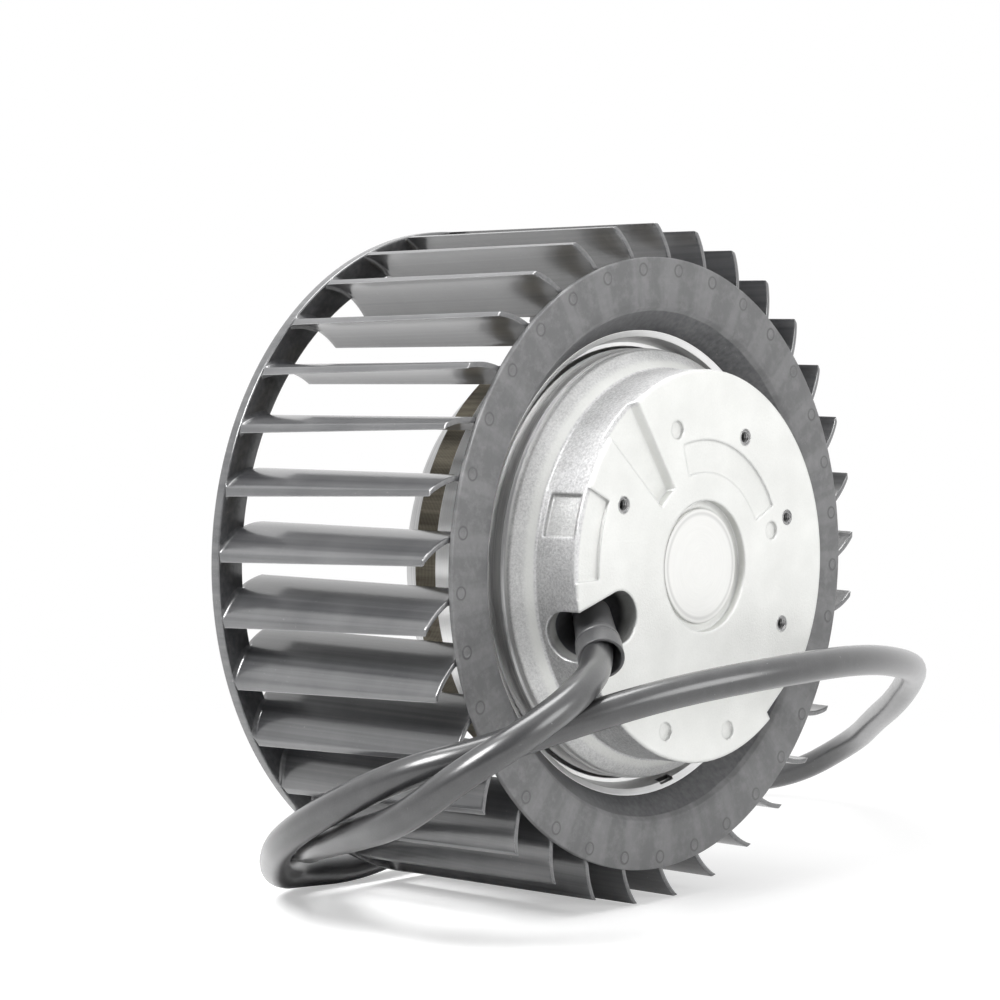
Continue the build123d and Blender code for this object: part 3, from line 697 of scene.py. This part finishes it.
def cast_aluminium():
    """Silk on the face, die skin and painted shade on the wall, fine turned lines on the skirt."""
    finish = Finish("cast_aluminium", Metallic=1.0)
    grain = finish.noise(1500, 3, None, 0.7)
    blotch = finish.noise(70, 4)
    fleck = finish.noise(3100, 1).step(0.66, 0.74)
    wall = finish.radius.step(0.0496, 0.0506) * finish.within(finish.depth, 0.0004, 0.0142)
    skirt = finish.depth.step(0.0188, 0.0196) * finish.radius.step(0.0550, 0.0558)
    inner_shade = (1 - finish.radius.step(0.0474, 0.0480)) * finish.depth.step(0.0034, 0.0060)
    lines = finish.noise(1.0, 3, finish.around(1.5, 2400, 5200), 0.7)
    face = (blotch * 0.7 + grain * 0.3).step(0.25, 0.8).tint((0.79, 0.795, 0.775), (0.89, 0.895, 0.875))
    # Painted shade: the wall's grey is partly the die skin and partly shade painted into it.
    wall_skin_and_shade = (grain * 0.75 + blotch * 0.45).step(0.3, 0.85).tint((0.46, 0.46, 0.465), (0.86, 0.86, 0.86))
    wall_skin_and_shade = (fleck * 0.7).tint(wall_skin_and_shade, (0.92, 0.92, 0.92))
    bright = lines.step(0.3, 0.7).tint((0.60, 0.60, 0.61), (0.93, 0.93, 0.92))
    lip = finish.radius.step(0.0530, 0.0545) * finish.within(finish.depth, 0.0134, 0.0190)
    colour = (wall + lip * 0.7).tint(face, wall_skin_and_shade)
    colour = skirt.tint(colour, bright)
    # Painted shade: the casting's inside past the face is painted dark.
    colour = inner_shade.tint(colour, (0.20, 0.20, 0.21))
    # Painted shade in recesses and grooves, from the crevice mask.
    colour = (finish.crevice_shade(0.004) * 0.5).tint(colour, (0.34, 0.34, 0.345))
    # Painted shade in the mouths of the tapped holes.
    mouth = sum(1 - finish.apart(spot).step(0.0020, 0.0022) for spot in HOLE_SPOTS)
    colour = (mouth * (1 - finish.depth.step(0.0010, 0.0012))).tint(colour, (0.05, 0.05, 0.05))
    # Painted highlight on corners, which are also pale where they were trimmed.
    edge = finish.edges(0.0007) * (1 - skirt)
    colour = (edge * (0.5 + grain * 0.5)).tint(colour, (0.97, 0.97, 0.97))
    height = grain * (1 - skirt) + blotch * 1.5 + lines * skirt * 0.6
    finish.feed(
        Base_Color=colour,
        Roughness=0.50 - skirt * 0.24 - edge * 0.1 + grain * 0.08,
        Normal=finish.bump(height, 0.00010, finish.rounded(0.0010)),
    )
    return finish


cast_aluminium().dress("stator_flange", burrs)

# %% [markdown]
# ## Cut threads
# A cut thread is bright on its crests, and painted shade makes it black in its grooves. Further in,
# painted shade sinks it into the dark of the hole. The crevice mask finds the grooves and the depth
# does the sinking.

# %% Thread metal
def thread_metal():
    """Cut metal with painted shade in its grooves and painted shade that deepens with depth."""
    finish = Finish("thread_metal", Metallic=1.0)
    # Painted shade: black in the grooves, and darker with depth.
    shade = finish.crevice_shade(0.0008).step(0.05, 0.45).tint((0.55, 0.55, 0.55), (0.01, 0.01, 0.01))
    shade = finish.depth.step(0.0006, 0.0024).tint(shade, (0.01, 0.01, 0.01))
    finish.feed(Base_Color=shade, Roughness=0.32 + finish.noise(900) * 0.15)
    return finish


thread_metal().dress(threads)

# %% [markdown]
# ## Turned rings
# The rotor's two end rings are cast and then turned bright. The tool leaves rings so fine that they
# only spread the light across the turning. One slot in the near ring, where balancing metal was
# milled away, is painted dark as shade. Corners get a painted highlight.

# %% Turned aluminium
SLOT_ANGLE = math.radians(281 - 360)
SLOT_HALF = math.radians(2.6)


def turned_metal(name, low, high, roughness, shadow=False, rim=False, spokes=0.6):
    """Turned metal: painted corner highlights, painted shade in the near ring's slot, a greyer cap rim.
    """
    finish = Finish(name, Metallic=1.0)
    lines = finish.noise(1.0, 3, finish.around(1.2, 5200, 4200), 0.65)
    smear = finish.noise(1.0, 3, finish.around(7, 90, 90))
    colour = (lines * (1.2 - spokes) + smear * spokes).step(0.35, 0.85).tint(low, high)
    # Painted highlight on corners.
    colour = (finish.edges(0.0005) * 0.7).tint(colour, (0.96, 0.96, 0.95))
    if shadow:
        # Painted shade in the milled balancing slot.
        slot = finish.within(finish.angle, SLOT_ANGLE - SLOT_HALF, SLOT_ANGLE + SLOT_HALF, 0.004)
        slot = slot * finish.within(finish.depth, 0.0218, 0.0240)
        slot = slot * (1 - finish.radius.step(0.0605, 0.0609))
        colour = slot.tint(colour, (0.012, 0.012, 0.012))
    if rim:
        ring = finish.within(finish.radius, 0.0133, 0.0141, 0.0004) + finish.radius.step(0.0144, 0.0150)
        colour = (ring * 0.35).tint(colour, (0.42, 0.42, 0.41))
    finish.feed(
        Base_Color=colour,
        Roughness=roughness + smear * 0.2 * spokes,
        Normal=finish.bump(lines, 0.00002, finish.rounded(0.0003)),
    )
    return finish


turned_metal("turned_ring", (0.84, 0.84, 0.84), (0.98, 0.98, 0.97), 0.24, shadow=True).dress(
    "rotor_near_ring")
turned_metal("turned_bell", (0.60, 0.60, 0.60), (0.86, 0.86, 0.86), 0.30, spokes=0.15).dress(
    "rotor_bell")
turned_metal("pressed_cap", (0.90, 0.90, 0.88), (0.95, 0.95, 0.93), 0.36, rim=True, spokes=0.1).dress(
    "end_cap")
turned_metal("ground_shaft", (0.50, 0.50, 0.51), (0.68, 0.68, 0.69), 0.16).dress("shaft", "rotor_hub")
turned_metal("bearing_steel", (0.46, 0.46, 0.47), (0.64, 0.64, 0.65), 0.12).dress(
    "bearing_outer_near", "bearing_outer_far", "bearing_inner_near", "bearing_inner_far",
    "bearing_balls_near", "bearing_balls_far")
turned_metal("spring_steel", (0.12, 0.12, 0.13), (0.24, 0.24, 0.25), 0.30).dress(
    "shaft_clip", "bearing_clip", "spring_washer")
turned_metal("cage_brass", (0.55, 0.44, 0.20), (0.72, 0.60, 0.30), 0.28).dress(
    "bearing_cage_near", "bearing_cage_far")

# %% [markdown]
# ## Stacks of sheet steel
# A motor's iron is a stack of half-millimetre sheets. Their edges show as fine lines round the
# rotor, and varnish and a trace of rust give them a warm olive brown with upright smears.

# %% Sheet stacks
SHEET = 0.0005


def sheet_stack(name, low, high):
    """The edges of steel sheets, under varnish and a trace of rust."""
    finish = Finish(name, Metallic=0.65)
    sheets = finish.wire.maths("SINE", finish.depth * (2 * math.pi / SHEET)) * 0.5 + 0.5
    smear = finish.noise(1.0, 4, finish.around(34, 60, 25), 0.6)
    spots = finish.noise(420, 3).step(0.62, 0.72)
    colour = (smear * 0.8 + sheets * 0.25).step(0.3, 0.85).tint(low, high)
    colour = (spots * 0.4).tint(colour, (0.07, 0.045, 0.025))
    finish.feed(
        Base_Color=colour,
        Roughness=0.42 + smear * 0.2,
        Normal=finish.bump(sheets + smear, 0.00005),
    )
    return finish


sheet_stack("rotor_sheets", (0.10, 0.085, 0.058), (0.33, 0.30, 0.235)).dress("rotor_stack")
sheet_stack("stator_sheets", (0.16, 0.16, 0.165), (0.34, 0.34, 0.35)).dress("stator_stack")

# %% [markdown]
# ## Winding, insulators and switch
# Inside the motor, enamelled copper fills the slots. Its turns lie side by side, so the coil heads
# show fine rings. The end plates are white nylon and the heat switch wears a clear brown varnish.

# %% Winding and insulation
WIRE_PITCH = 0.0005


def copper_turns():
    """Enamelled wire, turn beside turn, with a little wander."""
    finish = Finish("enamelled_copper", Metallic=0.8, Coat_Weight=0.5, Coat_Roughness=0.15)
    wander = finish.noise(90, 2) * 0.0012
    across = finish.radius + finish.depth + wander
    turns = finish.wire.maths("SINE", across * (2 * math.pi / WIRE_PITCH))
    colour = (turns * 0.4 + 0.5).tint((0.20, 0.055, 0.020), (0.62, 0.25, 0.10))
    finish.feed(Base_Color=colour, Roughness=0.30 + finish.noise(300) * 0.15,
                Normal=finish.bump(turns, 0.0001))
    return finish


def moulded(name, low, high, roughness, **constants):
    """A moulded or dipped skin: a cloudy tone, a fine grain, a little dust and painted shade in
    hollows.
    """
    finish = Finish(name, **constants)
    cloud = finish.noise(160, 4)
    grain = finish.noise(2400, 2)
    dust = finish.noise(1500, 1).step(0.70, 0.78) * finish.noise(150, 2).step(0.5, 0.7)
    colour = (cloud * 0.7 + grain * 0.3).step(0.25, 0.8).tint(low, high)
    colour = (dust * 0.3).tint(colour, (0.35, 0.35, 0.35))
    # Painted shade in hollows, such as inside the sleeve's mouth.
    colour = (finish.crevice_shade(0.004) * 0.8).tint(colour, (0.01, 0.01, 0.01))
    finish.feed(Base_Color=colour, Roughness=roughness + cloud * 0.12,
                Normal=finish.bump(grain, 0.00002, finish.rounded(0.0003)))
    return finish


copper_turns().dress("stator_winding")
moulded("insulator_nylon", (0.62, 0.62, 0.58), (0.78, 0.78, 0.74), 0.38).dress(
    "insulator_near", "insulator_far")
moulded("switch_varnish", (0.10, 0.05, 0.02), (0.22, 0.12, 0.05), 0.25, Coat_Weight=0.4).dress(
    "thermal_protector")

# %% [markdown]
# ## Rubber and cable jacket
# The sleeve is soft grey-black rubber. The cable's PVC is smoother and almost black, so it shows
# long highlights.

# %% Rubber and cable
moulded("sleeve_rubber", (0.075, 0.075, 0.078), (0.125, 0.125, 0.128), 0.34,
        Coat_Weight=0.4, Coat_Roughness=0.3).dress(sleeve)
moulded("cable_pvc", (0.030, 0.030, 0.032), (0.055, 0.055, 0.057), 0.30,
        Coat_Weight=0.9, Coat_Roughness=0.22, Coat_IOR=1.65).dress(cable)

# %% [markdown]
# ## Cores
# The four cores are one object, so their colours go by the side of the bundle that a spot lies on:
# brown, blue, black, and green with a yellow stripe for earth. The dot product with a direction
# says how far out a spot lies that way.

# %% Core insulation
BROWN, BLUE, BLACK = (0.10, 0.038, 0.016), (0.015, 0.075, 0.32), (0.012, 0.012, 0.013)
GREEN, YELLOW = (0.035, 0.20, 0.03), (0.62, 0.48, 0.03)
UP = Vector((0, 0, 1))
LEADS_R = 36.6
LEADS_ANGLE = 198


def core_colours(name, centre, side, rise, along):
    """Four insulation colours, split by the two directions across a bundle of cores."""
    finish = Finish(name)

    def reach(direction):
        offset = finish.wire.add("VectorMath", {"operation": "SUBTRACT"}, {0: finish.spot, 1: centre})
        return finish.wire.measure("DOT_PRODUCT", offset, direction)

    over, right = reach(rise), reach(side)
    stripe = (finish.wire.maths("SINE", right * 2600 + reach(along) * 420) * 0.5 + 0.5).step(0.55, 0.62)
    upper = right.step(-1e-5, 1e-5).tint(BROWN, BLUE)
    lower = right.step(-1e-5, 1e-5).tint(BLACK, stripe.tint(GREEN, YELLOW))
    finish.feed(Base_Color=over.step(-1e-5, 1e-5).tint(lower, upper),
                Roughness=0.34 + finish.noise(500) * 0.12,
                Normal=finish.bump(finish.noise(1800), 0.00002))
    return finish


last, before_last = Vector(CABLE_ROUTE[-1]), Vector(CABLE_ROUTE[-2])
run = (last - before_last).normalized()
core_colours("core_insulation", last, run.cross(UP), UP, run).dress("cable_cores")
lead_spot = polar(LEADS_R, LEADS_ANGLE) * MM
lead_centre = (lead_spot.x, 0, lead_spot.y)
core_colours("lead_insulation", lead_centre, (1, 0, 0), UP, (0, 1, 0)).dress("lead_wires")

# %% [markdown]
# ## Ferrules
# Each core ends in a crimped ferrule of tinned copper. It is the last finish of the fan, so this
# cell also looks for a node that has none yet.

# %% Tinned copper
def tinned():
    """Crimped, tinned copper: pale metal with small pinch marks."""
    finish = Finish("tinned_copper", Metallic=1.0)
    pinch = finish.noise(420, 1).step(0.4, 0.6)
    finish.feed(Base_Color=pinch.tint((0.60, 0.59, 0.57), (0.82, 0.81, 0.79)),
                Roughness=0.24 + finish.noise(700) * 0.15, Normal=finish.bump(pinch, 0.0001))
    return finish


tinned().dress("core_ferrules")
bare = [name for name, node in nodes.items() if not node.data.materials]
print("finishes", len(bpy.data.materials), "nodes without one", bare)

# %% [markdown]
# ## Floor
# The fan stands on plain white paper that runs out of sight. The paper keeps the fan's soft shadow
# but glows a little to the eye and fades to pure white further out, so it meets the white of the
# room without a line.

# %% Paper floor
FLOOR_Z = -0.090
SHADOW_SPOT = (-0.07, 0.06, FLOOR_Z)
PAPER_GLOW = 0.40
SHARE_NEAR = 0.82
bpy.ops.mesh.primitive_plane_add(size=12, location=(0, 0, FLOOR_Z))
floor = bpy.context.object
floor.name = "floor"
paper = bpy.data.materials.new("paper")
paper.use_nodes = True
tree = paper.node_tree
wire = Wire(tree)
paper_shader = tree.nodes["Principled BSDF"]
paper_shader.inputs["Base Color"].default_value = (0.82, 0.82, 0.82, 1)
paper_shader.inputs["Roughness"].default_value = 0.9
paper_shader.inputs["Specular IOR Level"].default_value = 0.0


def direct_rays(wire):
    """1 for the camera's own rays, and 1 for those or the ones of gloss and glass."""
    rays = wire.add("LightPath").socket.node.outputs
    names = ("Is Camera Ray", "Is Glossy Ray", "Is Transmission Ray")
    camera_ray, glossy, through = (Wire(wire.tree, rays[name]) for name in names)
    return camera_ray, wire.maths("MAXIMUM", wire.maths("MAXIMUM", camera_ray, glossy), through)


camera_ray, direct = direct_rays(wire)
place = wire.add("NewGeometry", out="Position")
reach = wire.measure("DISTANCE", place, SHADOW_SPOT)
far = reach.step(0.05, 0.17) * SHARE_NEAR + reach.step(0.20, 0.50) * (1 - SHARE_NEAR)
glow = wire.add("Emission", None, {"Strength": camera_ray * PAPER_GLOW})
white = wire.add("Emission", None, {"Strength": direct})
body = Wire(tree, paper_shader.outputs[0])
near = wire.add("AddShader", None, {0: body, 1: glow})
mixed = wire.add("MixShader", None, {0: far * direct, 1: near, 2: white})
tree.links.new(mixed.socket, tree.nodes["Material Output"].inputs[0])
floor.data.materials.append(paper)
print("floor at", FLOOR_Z)

# %% [markdown]
# ## Room
# The world is a white tent with one dark side, where the photographer stands, and a grey screen on
# the left: metal and gloss need something dark to show, or they look like plaster. To the eye and
# in gloss the tent is white, but it lights the fan with only a third of that.

# %% White tent
world = bpy.data.worlds.new("room")
bpy.context.scene.world = world
world.use_nodes = True
tree = world.node_tree
wire = Wire(tree)
camera_ray, direct = direct_rays(wire)
direction = wire.add("TexCoord", out="Generated")
DARK_SIDE = (-0.74, -0.66, 0.08)
DARKNESS = 0.78
SCREEN_SIDE = (-0.80, 0.58, 0.12)
SCREEN_GREY = 0.2
TENT_LIGHT = 0.36


def facing(side, low):
    """1 towards one side of the room, 0 away from it, and 0 for the camera's own rays."""
    towards = wire.measure("DOT_PRODUCT", direction, side)
    return towards.step(low, 0.95) * (1 - camera_ray)


strength = direct * (1 - TENT_LIGHT) + TENT_LIGHT
strength = strength * (1 - facing(DARK_SIDE, 0.15) * DARKNESS)
strength = strength * (1 - facing(SCREEN_SIDE, 0.45) * SCREEN_GREY)
tree.links.new(strength.socket, tree.nodes["Background"].inputs["Strength"])
tree.nodes["Background"].inputs["Color"].default_value = (1, 1, 1, 1)
print("tent light", TENT_LIGHT)

# %% [markdown]
# ## Lamps
# Three soft disc lamps: a large one above and behind, which draws the bright lines along the cable
# and the blades, a key from the upper left, and one from the right front for the flange's face.

# %% Lamps
def lamp(name, spot, size, power):
    """A soft disc lamp that looks at the middle of the fan."""
    data = bpy.data.lights.new(name, "AREA")
    data.shape = "DISK"
    data.size = size
    data.energy = power
    piece = bpy.data.objects.new(name, data)
    bpy.context.scene.collection.objects.link(piece)
    piece.location = spot
    piece.rotation_mode = "QUATERNION"
    piece.rotation_quaternion = (-Vector(spot)).to_track_quat("-Z", "Y")


lamp("key", (-1.0, 0.05, 1.0), 0.7, 20)
lamp("top", (0.1, 0.3, 1.2), 0.8, 9.5)
lamp("front", (0.3, -1.2, 0.45), 0.7, 5.0)
print("lamps", len(bpy.data.lights))
